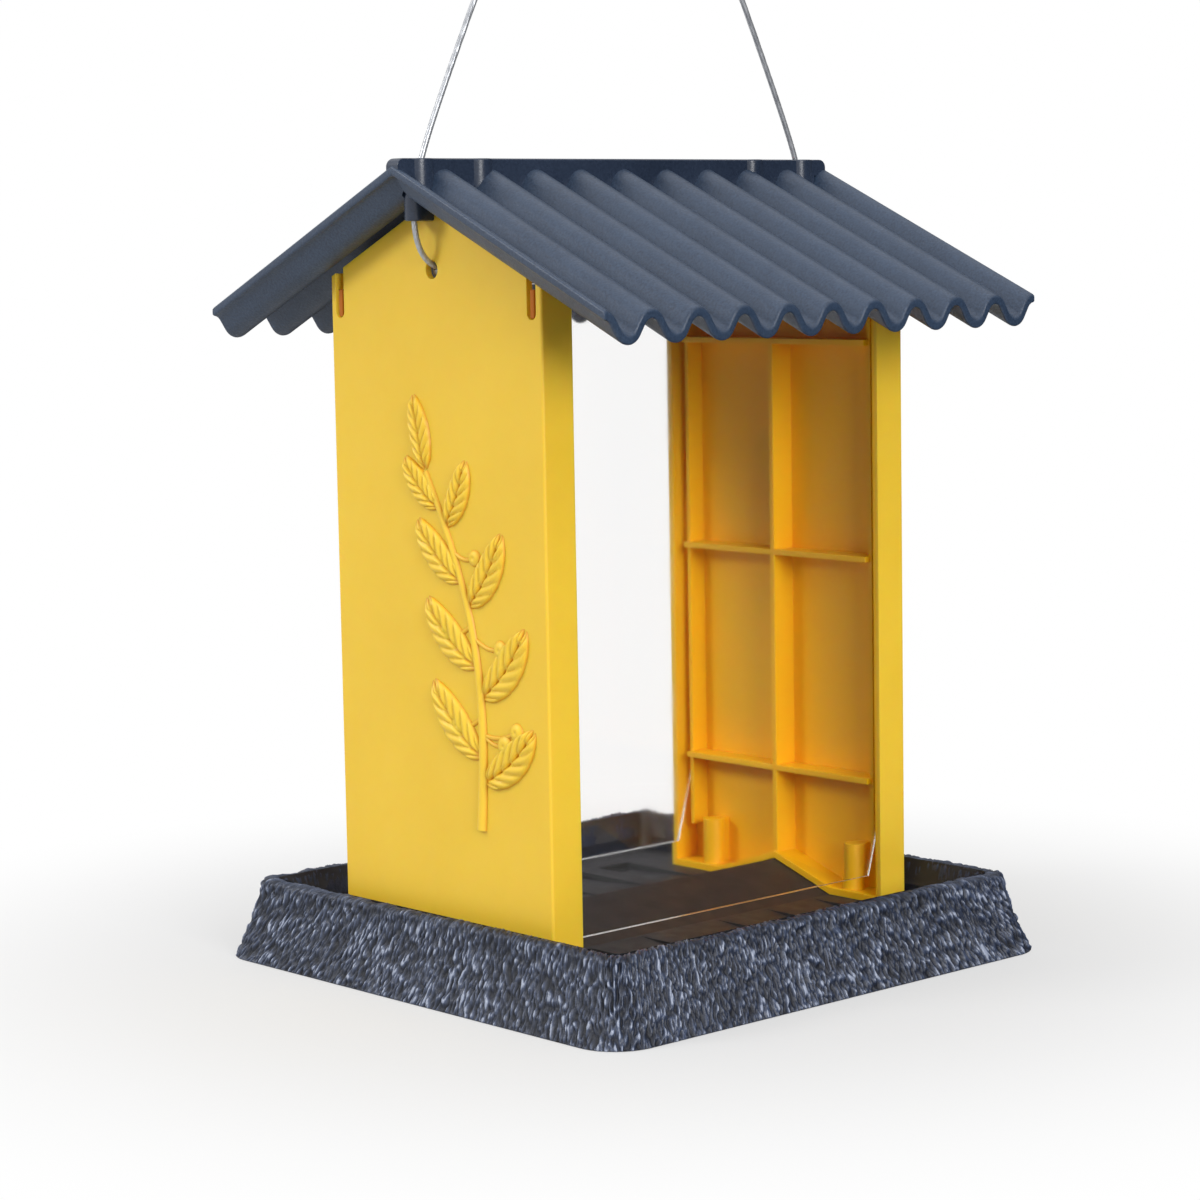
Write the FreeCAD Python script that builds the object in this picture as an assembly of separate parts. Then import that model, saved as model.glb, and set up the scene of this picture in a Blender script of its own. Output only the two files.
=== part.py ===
import FreeCAD, Part
import math
import os

from FreeCAD import Vector

# Hopper bird feeder, in millimetres.
# +Z is up, X runs along the roof ridge, the front window faces -Y.
# The origin is the middle of the tray's base.

# Tray
BASE_HALF = 209.55 / 2          # half of the 8.25 inch square base
TRAY_CORNER_CENTRE = 88.9       # corners of every level turn about this point
RIM_TOP = 27.5
RIM_SHOULDER = 25.0             # the rim rounds over above this height
RIM_SHOULDER_HALF = 95.1
RIM_CREST_HALF = 92.6
RIM_ROUND_OUT = 0.7             # last step of the rim's rounding, outwards
RIM_ROUND_DOWN = 0.8            # and downwards
SKIRT_HEIGHTS = (0, 4, 8, 12, 18)
FLARE_POWER = 1.3               # how late the skirt flares towards the base
SKIRT_WALL = 2.6
SKIRT_CAVITY_TOP = 22.0
BOWL_TOP_HALF = 89.8
BOWL_FLOOR_HALF = 87.2
BOWL_CORNER = 4.0
FLOOR_TOP = 13.5
FLOOR_UNDER = 9.0
HUMP_HALF = 28.0
HUMP_TOP = 23.0
HUMP_WALL = 3.0
DRAIN_RIB_CENTRES = (18.25, 42.65)
DRAIN_RIB_WIDTH = 9.2
DRAIN_OUTER_EDGE = 62.4
DRAIN_START = 29.0
DRAIN_FLAT = 56.0
DRAIN_END = 70.0
DRAIN_DEPTH = 2.2
DRAIN_SLIT = 2.4
DRAIN_SLIT_INSET = 1.5

# End walls
WALL_OUTER = 84.75              # outer face, along X
WALL_DEPTH = 13.0
WALL_HALF = 54.4
WALL_SKIN = 2.5
WALL_EDGE_ROUND = 0.9
WALL_TOP = 263.4
NOTCH_GAP = 0.3
RIB_FRONT = 72.6                # how near the hopper the ribs reach
RIB_THICK = 2.0
CENTRE_RIB_BOTTOM = 25.0
CROSS_RIB_HEIGHTS = (57.0, 137.0, 214.0)
GUIDE_RIB_MIDDLE = 46.4
GUIDE_RIB_THICK = 1.6
GUIDE_RIB_FRONT = 75.0
GUIDE_RIB_BOTTOM = 30.0
GUIDE_RIB_TOP = 225.0
CABLE_HOLE_HEIGHT = 243.0
CABLE_HOLE_RADIUS = 3.1
BOSS_X = 76.6
BOSS_Y = 36.5
BOSS_RADIUS = 4.0
BOSS_TOP = 33.0
BOSS_WEB = 5.0

# Windows
WINDOW_MIDDLE = 49.6            # distance of the sheet from the middle, along Y
WINDOW_THICK = 2.0
WINDOW_HALF = 78.0
WINDOW_BOTTOM = 23.5
WINDOW_TOP = 236.5
WINDOW_TIP_HALF = 69.8          # half width at the tapered lower edge
WINDOW_TAPER_TOP = 52.0
EAR_HALF = 84.4
EAR_BOTTOM = 227.3
SLOT_WIDTH = 4.4
SLOT_BOTTOM = 226.8

# Roof
RIDGE_TOP = 279.4               # the 11 inch overall height
ROOF_HALF_LENGTH = 100.8
ROOF_HALF_SPAN = 101.7
EAVE_UNDERSIDE = 219.4
ROOF_SLOPE = math.radians(24.6)
WAVES = 10
WAVE_RISE = 7.2
WAVE_FLANK = math.radians(55)
SHEET = 3.0
SHEET_SPARE = 15.0              # length trimmed off at the ridge and at the eave
BAR_HALF = 3.0
BAR_BOTTOM = 264.0
BAR_END_ROUND = 4.0
BAR_END_BOTTOM = 272.5          # the bar is shallower beyond the cable guides
BAR_END_STEP = 96.4
CABLE_BOSS_XS = (64.0, 89.3)
CABLE_BOSS_RADIUS = 5.0
CABLE_SLOT_INNER = 64.5
CABLE_SLOT_OUTER = 93.2
CABLE_SLOT_WIDTH = 2.8
GUIDE_BOTTOM = 259.0
GUIDE_INNER = 86.0
GUIDE_NOSE = 92.6
GUIDE_HALF = 3.6
ROOF_GAP = 0.3                  # between the roof's valleys and the gables

# Cable, its stops and the screws
CABLE_DIAMETER = 2.0
CABLE_LEG = [                   # right leg as (x, z), from the wall up to the top of the loop
    (77.2, 242.25), (84.0, 243.9), (89.2, 248.6), (91.6, 256.0), (91.5, 265.0), (89.0, 276.6),
    (84.0, 289.3), (73.3, 312.0), (57.5, 344.0), (40.0, 372.0), (16.0, 391.0)]
ARC_SHARE = 0.45                # of the shorter run, taken up by each bend
STOP_RADIUS = 3.75
STOP_X = 79.4
SCREW_RADIUS = 1.45
SCREW_PILOT_RADIUS = 1.5
SCREW_CLEARANCE_RADIUS = 1.8
SCREW_HEAD_RADIUS = 3.3
SCREW_HEAD_HEIGHT = 2.2
SCREW_LENGTH = 18.0
SCREW_PILOT_TOP = 30.0
DRIVE_SLOT_LENGTH = 3.8
DRIVE_SLOT_WIDTH = 0.9
DRIVE_SLOT_DEPTH = 1.1

ORIGIN = Vector(0, 0, 0)
X_AXIS = Vector(1, 0, 0)
Z_AXIS = Vector(0, 0, 1)
FAR = 300.0                     # longer than anything that is cut
OVERCUT = 1.0                   # how far a cut runs past the face it opens
SAME = 0.01                     # lengths closer than this count as equal


def box(x0, x1, y0, y1, z0, z1):
    return Part.makeBox(x1 - x0, y1 - y0, z1 - z0, Vector(x0, y0, z0))


def upright(radius, x, y, z0, z1):
    return Part.makeCylinder(radius, z1 - z0, Vector(x, y, z0), Z_AXIS)


def lying(radius, y, z, x0, x1):
    return Part.makeCylinder(radius, x1 - x0, Vector(x0, y, z), X_AXIS)


def line(a, b):
    return Part.LineSegment(a, b).toShape()


def along_x(outline, x0, x1):
    """Prism of a (y, z) outline between two x planes."""
    face = Part.Face(Part.makePolygon([Vector(x0, y, z) for y, z in outline + outline[:1]]))
    return face.extrude(Vector(x1 - x0, 0, 0))


def along_y(outline, y0, y1):
    """Prism of an (x, z) outline between two y planes."""
    face = Part.Face(Part.makePolygon([Vector(x, y0, z) for x, z in outline + outline[:1]]))
    return face.extrude(Vector(0, y1 - y0, 0))


def tongue(x0, x1, half, z0, z1):
    """Upright slab from a flat end at x0 to a round end about x1."""
    places = [(x1, half), (x0, half), (x0, -half), (x1, -half)]
    corners = [Vector(x, y, z0) for x, y in places]
    tip = Part.Arc(corners[-1], Vector(x1 + half, 0, z0), corners[0]).toShape()
    sides = [line(a, b) for a, b in zip(corners, corners[1:])]
    return Part.Face(Part.Wire([tip] + sides)).extrude(Vector(0, 0, z1 - z0))


def turned(shape):
    """The same piece at the opposite end."""
    copy = shape.copy()
    copy.rotate(ORIGIN, Z_AXIS, 180)
    return copy


def fused(shapes):
    return shapes[0].fuse(shapes[1:]).removeSplitter()


def rounded_square(half, radius, z):
    flat = half - radius
    edges = []
    for quarter in range(4):
        turn = FreeCAD.Rotation(Z_AXIS, 90 * quarter)

        def at(x, y):
            return turn.multVec(Vector(x, y, z))

        middle = flat + radius * math.sqrt(0.5)
        edges.append(line(at(half, -flat), at(half, flat)))
        edges.append(Part.Arc(at(half, flat), at(middle, middle), at(flat, half)).toShape())
    return Part.Wire(edges)


def stacked(levels):
    """Solid through rounded squares given as (z, half width, corner radius)."""
    return Part.makeLoft([rounded_square(half, radius, z) for z, half, radius in levels], True, True)


def skirt_half(z):
    share = max(0.0, (RIM_SHOULDER - z) / RIM_SHOULDER)
    return RIM_SHOULDER_HALF + (BASE_HALF - RIM_SHOULDER_HALF) * share ** FLARE_POWER


def skirt_levels(heights, inset):
    halves = [(z, skirt_half(z) - inset) for z in heights]
    return [(z, half, half - TRAY_CORNER_CENTRE) for z, half in halves]


def drain_ranges():
    """The x ranges of the sloping drains between the floor ribs."""
    edges = [-DRAIN_OUTER_EDGE]
    for centre in sorted([-c for c in DRAIN_RIB_CENTRES] + list(DRAIN_RIB_CENTRES)):
        edges += [centre - DRAIN_RIB_WIDTH / 2, centre + DRAIN_RIB_WIDTH / 2]
    edges.append(DRAIN_OUTER_EDGE)
    return list(zip(edges[0::2], edges[1::2]))


def screw_places():
    return [(x, y) for x in (-BOSS_X, BOSS_X) for y in (-BOSS_Y, BOSS_Y)]


def make_tray():
    crest = [(RIM_TOP - RIM_ROUND_DOWN, RIM_CREST_HALF + RIM_ROUND_OUT), (RIM_TOP, RIM_CREST_HALF)]
    rim = [(z, half, half - TRAY_CORNER_CENTRE) for z, half in crest]
    outside = stacked(skirt_levels(SKIRT_HEIGHTS + (RIM_SHOULDER,), 0) + rim)
    cavity = stacked(skirt_levels(SKIRT_HEIGHTS + (SKIRT_CAVITY_TOP,), SKIRT_WALL))
    rise = (BOWL_TOP_HALF - BOWL_FLOOR_HALF) / (RIM_TOP - FLOOR_TOP)

    def bowl(z0, z1, wall):
        halves = [(z, BOWL_FLOOR_HALF + rise * (z - FLOOR_TOP) + wall) for z in (z0, z1)]
        return stacked([(z, half, BOWL_CORNER + wall) for z, half in halves])

    body = outside.cut(cavity).fuse(bowl(FLOOR_UNDER, RIM_SHOULDER, SKIRT_WALL))
    body = body.cut(bowl(FLOOR_TOP, RIM_TOP + OVERCUT, 0))
    hump_end = BOWL_FLOOR_HALF + SKIRT_WALL / 2
    hump = along_x([(-HUMP_HALF, FLOOR_TOP), (HUMP_HALF, FLOOR_TOP), (0, HUMP_TOP)], -hump_end, hump_end)
    slope = (HUMP_TOP - FLOOR_TOP) / HUMP_HALF
    under_top = HUMP_TOP - HUMP_WALL
    under_half = (under_top - FLOOR_UNDER) / slope
    hollow = along_x([(-under_half, FLOOR_UNDER), (under_half, FLOOR_UNDER), (0, under_top)],
                     -BOWL_FLOOR_HALF + SKIRT_WALL, BOWL_FLOOR_HALF - SKIRT_WALL)
    body = body.fuse(hump).cut(hollow)
    low = FLOOR_TOP - DRAIN_DEPTH
    ramp = [(DRAIN_START, FLOOR_TOP), (DRAIN_FLAT, low), (DRAIN_END, low), (DRAIN_END, RIM_TOP),
            (DRAIN_START, RIM_TOP)]
    slit_end = DRAIN_END - DRAIN_SLIT_INSET
    cuts = []
    for x0, x1 in drain_ranges():
        drain = along_x(ramp, x0, x1)
        slit = box(x0 + DRAIN_SLIT_INSET, x1 - DRAIN_SLIT_INSET, slit_end - DRAIN_SLIT, slit_end,
                   0, FLOOR_TOP)
        cuts += [drain, slit, turned(drain), turned(slit)]
    cuts += [upright(SCREW_CLEARANCE_RADIUS, x, y, 0, RIM_TOP) for x, y in screw_places()]
    return body.cut(cuts).removeSplitter()


def valley_line(y):
    """Height of the underside of the roof's valleys."""
    return EAVE_UNDERSIDE + (ROOF_HALF_SPAN - abs(y)) * math.tan(ROOF_SLOPE)


def wall_outline(inset):
    """Gable outline as (y, z), moved inwards by an even wall thickness."""
    side = WALL_HALF - inset
    lift = inset / math.cos(ROOF_SLOPE)
    top = WALL_TOP - inset
    gable = [(y, valley_line(y) - ROOF_GAP - lift) for y in (-side, side)]
    peak = ROOF_HALF_SPAN - (top - EAVE_UNDERSIDE + ROOF_GAP + lift) / math.tan(ROOF_SLOPE)
    bottom = FLOOR_TOP + inset
    notch_top = HUMP_TOP + NOTCH_GAP + inset
    notch_half = HUMP_HALF * (notch_top - bottom) / (HUMP_TOP - FLOOR_TOP)
    right = [(side, bottom), gable[1], (peak, top)]
    left = [(-y, z) for y, z in reversed(right)]
    return right + left + [(-notch_half, bottom), (0, notch_top), (notch_half, bottom)]


def make_end_wall():
    """The wall at the +X end."""
    inner = WALL_OUTER - WALL_DEPTH
    skin_inside = WALL_OUTER - WALL_SKIN
    body = along_x(wall_outline(0), inner, WALL_OUTER)

    def on_corner(point):
        return abs(point.X - WALL_OUTER) < SAME and abs(abs(point.Y) - WALL_HALF) < SAME

    corners = [e for e in body.Edges if all(on_corner(v) for v in e.Vertexes)]
    body = body.makeFillet(WALL_EDGE_ROUND, corners)
    body = body.cut(along_x(wall_outline(WALL_SKIN), inner - OVERCUT, skin_inside))
    half_rib = RIB_THICK / 2
    rib_top = CROSS_RIB_HEIGHTS[-1]
    added = [body, box(RIB_FRONT, skin_inside, -half_rib, half_rib, CENTRE_RIB_BOTTOM, rib_top)]
    for height in CROSS_RIB_HEIGHTS:
        added.append(box(RIB_FRONT, skin_inside, -GUIDE_RIB_MIDDLE, GUIDE_RIB_MIDDLE,
                         height - half_rib, height + half_rib))
    for side in (-1, 1):
        guide = side * GUIDE_RIB_MIDDLE - GUIDE_RIB_THICK / 2
        added.append(box(GUIDE_RIB_FRONT, skin_inside, guide, guide + GUIDE_RIB_THICK,
                         GUIDE_RIB_BOTTOM, GUIDE_RIB_TOP))
        added.append(upright(BOSS_RADIUS, BOSS_X, side * BOSS_Y, FLOOR_TOP, BOSS_TOP))
        web = side * BOSS_Y - BOSS_WEB / 2
        added.append(box(BOSS_X, skin_inside, web, web + BOSS_WEB, FLOOR_TOP, BOSS_TOP))
    body = fused(added)
    cuts = [lying(CABLE_HOLE_RADIUS, 0, CABLE_HOLE_HEIGHT, inner, WALL_OUTER + OVERCUT)]
    half_slot = SLOT_WIDTH / 2
    round_middle = SLOT_BOTTOM + half_slot
    for side in (-1, 1):
        middle = side * WINDOW_MIDDLE
        cuts.append(box(inner - OVERCUT, WALL_OUTER + OVERCUT, middle - half_slot, middle + half_slot,
                        round_middle, WALL_TOP))
        cuts.append(lying(half_slot, middle, round_middle, skin_inside - OVERCUT, WALL_OUTER + OVERCUT))
        cuts.append(upright(SCREW_PILOT_RADIUS, BOSS_X, side * BOSS_Y, 0, SCREW_PILOT_TOP))
    return body.cut(cuts).removeSplitter()


def make_window():
    """The front window, with its tapered lower corners and its two ears."""
    right = [(WINDOW_TIP_HALF, WINDOW_BOTTOM), (WINDOW_HALF, WINDOW_TAPER_TOP),
             (WINDOW_HALF, EAR_BOTTOM), (EAR_HALF, EAR_BOTTOM), (EAR_HALF, WINDOW_TOP)]
    left = [(-x, z) for x, z in reversed(right)]
    outside = -WINDOW_MIDDLE - WINDOW_THICK / 2
    return along_y(right + left, outside, outside + WINDOW_THICK)


def wave_edge(offset):
    """One side of the corrugated sheet as edges in the (x, z) plane, crests at both ends."""
    quarter = ROOF_HALF_LENGTH / WAVES / 2
    half_rise = WAVE_RISE / 2
    sine, cosine = math.sin(WAVE_FLANK), math.cos(WAVE_FLANK)
    straight = (half_rise * sine - quarter * (1 - cosine)) / (sine * sine - cosine * (1 - cosine))
    radius = (quarter - straight * cosine) / sine
    edges = []

    def arc_point(centre_x, centre_z, size, angle, up):
        return Vector(centre_x + size * math.sin(angle), 0, centre_z + up * size * math.cos(angle))

    last = None
    for k in range(2 * WAVES + 1):
        up = 1 if k % 2 == 0 else -1
        centre_x = -ROOF_HALF_LENGTH + 2 * quarter * k
        centre_z = up * (half_rise - radius)
        size = radius + up * offset
        start = 0 if k == 0 else -WAVE_FLANK
        end = 0 if k == 2 * WAVES else WAVE_FLANK
        ends = [arc_point(centre_x, centre_z, size, a, up) for a in (start, (start + end) / 2, end)]
        if last is not None:
            edges.append(line(last, ends[0]))
        edges.append(Part.Arc(*ends).toShape())
        last = ends[2]
    return edges


def make_slope():
    """The front slope: the corrugated section pushed along the fall of the roof."""
    upper, lower = wave_edge(SHEET / 2), wave_edge(-SHEET / 2)
    ends = []
    for pick in (0, -1):
        a = upper[pick].Vertexes[pick].Point
        b = lower[pick].Vertexes[pick].Point
        ends.append(line(a, b))
    section = Part.Face(Part.Wire(Part.__sortEdges__(upper + lower + ends)))
    run = ROOF_HALF_SPAN / math.cos(ROOF_SLOPE) + 2 * SHEET_SPARE
    slope = section.extrude(Vector(0, -run, 0))
    slope.translate(Vector(0, SHEET_SPARE, 0))
    slope.rotate(ORIGIN, X_AXIS, math.degrees(ROOF_SLOPE))
    depth = (WAVE_RISE / 2 + SHEET / 2) / math.cos(ROOF_SLOPE)
    slope.translate(Vector(0, 0, valley_line(0) + depth))
    return slope.common(box(-FAR, FAR, -ROOF_HALF_SPAN, -BAR_HALF / 2, 0, 2 * FAR))


def make_ridge_bar():
    """Upright bar along the ridge, shallower and rounded off at both ends."""
    flat = ROOF_HALF_LENGTH - BAR_END_ROUND
    low = RIDGE_TOP - BAR_END_ROUND
    bulge = BAR_END_ROUND * math.sqrt(0.5)

    def at(x, z):
        return Vector(x, -BAR_HALF, z)

    edges = [line(at(-flat, RIDGE_TOP), at(flat, RIDGE_TOP))]
    for side in (-1, 1):
        end, step = side * ROOF_HALF_LENGTH, side * BAR_END_STEP
        corner = [at(side * flat, RIDGE_TOP), at(side * (flat + bulge), low + bulge), at(end, low)]
        edges.append(Part.Arc(*corner).toShape())
        places = [(end, low), (end, BAR_END_BOTTOM), (step, BAR_END_BOTTOM), (step, BAR_BOTTOM),
                  (0, BAR_BOTTOM)]
        points = [at(x, z) for x, z in places]
        edges += [line(a, b) for a, b in zip(points, points[1:])]
    return Part.Face(Part.Wire(Part.__sortEdges__(edges))).extrude(Vector(0, 2 * BAR_HALF, 0))


def make_roof():
    slope = make_slope()
    guide = tongue(GUIDE_INNER, GUIDE_NOSE, GUIDE_HALF, GUIDE_BOTTOM, BAR_BOTTOM + BAR_HALF)
    added = [slope, turned(slope), guide, turned(guide)]
    for x in CABLE_BOSS_XS:
        boss = upright(CABLE_BOSS_RADIUS, x, 0, BAR_BOTTOM, RIDGE_TOP)
        added += [boss, turned(boss)]
    body = make_ridge_bar()
    for shape in added:
        body = body.fuse(shape)
    half = CABLE_SLOT_WIDTH / 2
    slot = tongue(CABLE_SLOT_INNER, CABLE_SLOT_OUTER - half, half, 0, FAR)
    return body.cut([slot, turned(slot)]).removeSplitter()


def cable_route():
    left = [(-x, z) for x, z in CABLE_LEG]
    return [Vector(x, 0, z) for x, z in left + CABLE_LEG[::-1]]


def make_cable():
    """Round cable along straight runs joined by tangent arcs."""
    points = cable_route()
    edges = []
    last = points[0]
    for before, corner, after in zip(points, points[1:], points[2:]):
        inward, outward = before - corner, after - corner
        shorter = min(inward.Length, outward.Length)
        half_turn = (math.pi - inward.getAngle(outward)) / 2
        tangent = ARC_SHARE * shorter
        radius = tangent / math.tan(half_turn)
        start = corner + inward.normalize() * tangent
        end = corner + outward.normalize() * tangent
        bisector = (inward + outward).normalize()
        middle = corner + bisector * (radius / math.cos(half_turn) - radius)
        edges.append(line(last, start))
        edges.append(Part.Arc(start, middle, end).toShape())
        last = end
    edges.append(line(last, points[-1]))
    path = Part.Wire(edges)
    circle = Part.Circle(points[0], points[1] - points[0], CABLE_DIAMETER / 2).toShape()
    print("cable length %.1f" % path.Length)
    return path.makePipeShell([Part.Wire(circle)], True, False)


def make_cable_stop(cable):
    """Ball swaged on the cable's right end."""
    (x0, z0), (x1, z1) = CABLE_LEG[:2]
    height = z0 + (z1 - z0) * (STOP_X - x0) / (x1 - x0)
    return Part.makeSphere(STOP_RADIUS, Vector(STOP_X, 0, height)).cut(cable)


def make_screw(x, y):
    """Pan-head self-tapping screw, driven from below."""
    head_bottom = FLOOR_UNDER - SCREW_HEAD_HEIGHT
    head = upright(SCREW_HEAD_RADIUS, x, y, head_bottom, FLOOR_UNDER)
    rim = [e for e in head.Edges if e.BoundBox.ZMax < head_bottom + SAME]
    head = head.makeFillet(SCREW_HEAD_HEIGHT / 2, rim)
    shank = upright(SCREW_RADIUS, x, y, FLOOR_UNDER, FLOOR_UNDER + SCREW_LENGTH)
    body = head.fuse(shank).removeSplitter()
    long, wide = DRIVE_SLOT_LENGTH / 2, DRIVE_SLOT_WIDTH / 2
    top = head_bottom + DRIVE_SLOT_DEPTH
    cross = [box(x - a, x + a, y - b, y + b, head_bottom - OVERCUT, top)
             for a, b in ((long, wide), (wide, long))]
    return body.cut(cross)


def main():
    os.makedirs("parts", exist_ok=True)
    wall = make_end_wall()
    window = make_window()
    cable = make_cable()
    stop = make_cable_stop(cable)
    nodes = {
        "tray": make_tray(),
        "left_end_wall": turned(wall),
        "right_end_wall": wall,
        "front_window": window,
        "rear_window": turned(window),
        "roof": make_roof(),
        "hanger_cable": cable,
        "left_cable_stop": turned(stop),
        "right_cable_stop": stop,
    }
    for number, (x, y) in enumerate(screw_places(), 1):
        nodes["tray_screw_%d" % number] = make_screw(x, y)
    for name, shape in nodes.items():
        print("%-17s solids %d valid %s" % (name, len(shape.Solids), shape.isValid()))
        shape.exportStep("parts/%s.step" % name)


main()
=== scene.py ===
import math

import bmesh
import bpy
import numpy as np
from mathutils import Matrix, Vector, noise


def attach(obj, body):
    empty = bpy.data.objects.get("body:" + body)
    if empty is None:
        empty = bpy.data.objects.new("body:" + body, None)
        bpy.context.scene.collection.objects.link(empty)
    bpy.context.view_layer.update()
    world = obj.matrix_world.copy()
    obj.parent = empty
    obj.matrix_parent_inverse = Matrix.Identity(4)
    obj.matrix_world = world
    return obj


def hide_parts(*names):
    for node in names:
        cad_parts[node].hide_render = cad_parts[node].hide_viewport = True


# Looks of a hanging hopper bird feeder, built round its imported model.
# Lengths are in millimetres until MM turns them into metres.

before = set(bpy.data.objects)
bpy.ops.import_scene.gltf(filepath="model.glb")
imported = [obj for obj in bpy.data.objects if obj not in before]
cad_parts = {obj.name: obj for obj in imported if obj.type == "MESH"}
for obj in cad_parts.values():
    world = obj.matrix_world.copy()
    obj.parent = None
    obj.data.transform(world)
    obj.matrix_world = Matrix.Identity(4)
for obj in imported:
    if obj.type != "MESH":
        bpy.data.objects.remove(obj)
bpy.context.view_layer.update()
MM = 0.001

# Camera
CAMERA_TURN = math.radians(-42.29)
CAMERA_RISE = math.radians(6.53)
CAMERA_ROLL = math.radians(-1.01)
CAMERA_DISTANCE = 1121.17
CAMERA_ASIDE = -9.03
CAMERA_AIM_HEIGHT = 125.88
CAMERA_LENS = 95.62
CAMERA_SENSOR = 36.0

# Studio, in metres; lamps as (name, turn and rise in degrees, distance, size, power)
BACKDROP_LIGHT = 0.4
ROOM_LIGHT = 0.06
ROOM_TURN = math.radians(65)    # the dim side of the studio
ROOM_FADE = (0.55, -0.25)       # share of straight towards the room: all room, all backdrop
OVERHEAD_LIGHT = 1.4
OVERHEAD_FADE = (0.4, 0.85)     # share of straight up: starts, is full
FLOOR_RADIUS = 0.38
FLOOR_DROP = 0.0002
FLOOR_GREY = 0.5
FLOOR_HIDDEN = (0.085, 0.1)     # from the middle: no white shows under the tray
FLOOR_FADE = (0.12, 0.34)       # from the middle: the shadow turns into white
FLOOR_SHADOW_WHITE = 0.5        # share of white in the shadow
FLOOR_ROOM_FADE = (0.1, -0.1)
LAMP_AIM = Vector((0, 0, 0.14))
LAMPS = [("key", -119, 30, 1.6, 0.5, 10), ("front", -14, 18, 2.0, 1.0, 29)]

# Copies of CAD meshes
WELD_DISTANCE = 0.002
FLAT_ANGLE = math.radians(0.5)
SHARP_ANGLE = math.radians(40)

# Plastic
PLASTIC_IOR = 1.49
CLOUD_SIZE = 38
GLOSS_SIZE = 9

# Tray
BASE_HALF = 104.775
BASE_LIP = 1.0
CORNER_CENTRE = 88.9
CORNER_STEPS = 69
RIM_TOP = 27.5
RIM_SHOULDER = 25.0
RIM_SHOULDER_HALF = 95.1
RIM_CREST_HALF = 92.6
RIM_INNER_ROUND = 0.9
FLARE_POWER = 1.3
SKIRT_WALL = 2.6
BOWL_TOP_HALF = 89.8
BOWL_FLOOR_HALF = 87.2
BOWL_CORNER = 4.0
BOWL_STEP = 1.0
FLOOR_TOP = 13.5
PAINTED_SHADE_TILT = (0.8, 0.5)         # upward share of a face: unshaded, full painted shade
PAINTED_SHADE_TOP = (0.4, 0.1)          # heights over the floor: unshaded, full painted shade

# Bark of the tray's skirt; a stretch is length up the skirt over width
BARK_SEED = 7                   # fixes the warp of the flecks
BARK_STEP = 0.32                # mesh spacing
BARK_DEPTH = 0.8
BARK_LEVEL = 0.6                # roughness that lies on the smooth skirt
BARK_LEAST_TONE = 0.15
BARK_MEAN = 0.45
FLECK_WEIGHT = 0.8
LUMP_WEIGHT = 0.26
PATCH_WEIGHT = 0.14
FLECK_WIDTH = 0.78
FLECK_STRETCH = 3.7
FLECK_LEAN = 0.08
LUMP_WIDTH = 2.0
LUMP_STRETCH = 2.4
PATCH_WIDTH = 12.0
WARP_WIDTH = 6.0
WARP = 0.5
CREST_ROUGHNESS = 0.7           # shares of the skirt's roughness over the rim and in the bowl
INNER_RIM_ROUGHNESS = 0.5
INNER_ROUND_LOSS = 0.1          # per radian
BOWL_ROUGHNESS = 0.3
BOWL_ROUGH_FROM = 6.0           # below the rim, where the bowl's roughness starts
BOWL_ROUGH_FULL = 1.5
RIM_WANDER = 0.6
RIM_WANDER_WIDTH = 8.0
RIM_WANDER_REACH = 6.0

# End walls and windows
WALL_OUTER = 84.75
WALL_SKIN_INSIDE = 82.3
WALL_SKIN_FADE = 0.2
WALL_FLANGE_INSIDE = 52.4
WALL_FLANGE_FADE = 1.0
WALL_EDGE_SOFTENING = 0.35
WINDOW_EDGE_SOFTENING = 0.3
# fade of the painted shade on the windows' ears
PAINTED_EAR_FADE = 1.2

# Sprig in relief on the end walls, as (across, up, height) on the wall's face
STEM_FOOT = (20.0, 58.0)
STEM_LEAN = -30.0
STEM_BEND = 14.0
STEM_BEND_TURN = 2.8
STEM_RISE = 118.0
STEM_RADII = (2.1, 1.2)
STALK_RADII = (0.9, 0.8)
STALK_SAG = 1.5
STEM_SINK = 0.2                 # how far stems and berries run into the wall
STEM_FULLNESS = 0.95
LEAF_SINK = 0.25
LEAF_HEIGHT = 2.1
LEAF_FULLNESS = 2.35
MIDRIB_WIDTH = 0.55
MIDRIB_DEPTH = 1.2
VEIN_COUNT = 6.5
VEIN_SLANT = 1.7
VEIN_DEPTH = 0.9
BERRY_HEIGHT = 1.7
DIMPLE_WIDTH = 0.6
DIMPLE_DEPTH = 0.5
SPRIG_PAINTED_SHADE = (1.1, -0.1)      # heights over the wall: no painted shade, deepest painted shade
LEAVES = [                      # (share of the stem, heading in degrees, length, width, bend)
    (0.14, 20, 34, 15, 0.6), (0.2, 150, 36, 16, -0.5), (0.38, 30, 35, 15.5, 0.6),
    (0.45, 155, 35, 15.5, -0.55), (0.62, 38, 32, 14, 0.6), (0.69, 152, 31, 14, -0.5),
    (0.84, 50, 26, 12, 0.5), (0.9, 150, 25, 11.5, -0.5), (1.0, 100, 27, 12, 0.1)]
BERRIES = [                     # (share of the stem, across, up, radius)
    (0.27, 11.0, -2.5, 3.6), (0.27, 17.0, 2.5, 3.2), (0.33, -12.5, -4.0, 3.5),
    (0.54, 13.5, -3.0, 3.3), (0.57, -13.0, -3.5, 3.3), (0.78, 11.0, -1.5, 2.9)]

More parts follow.
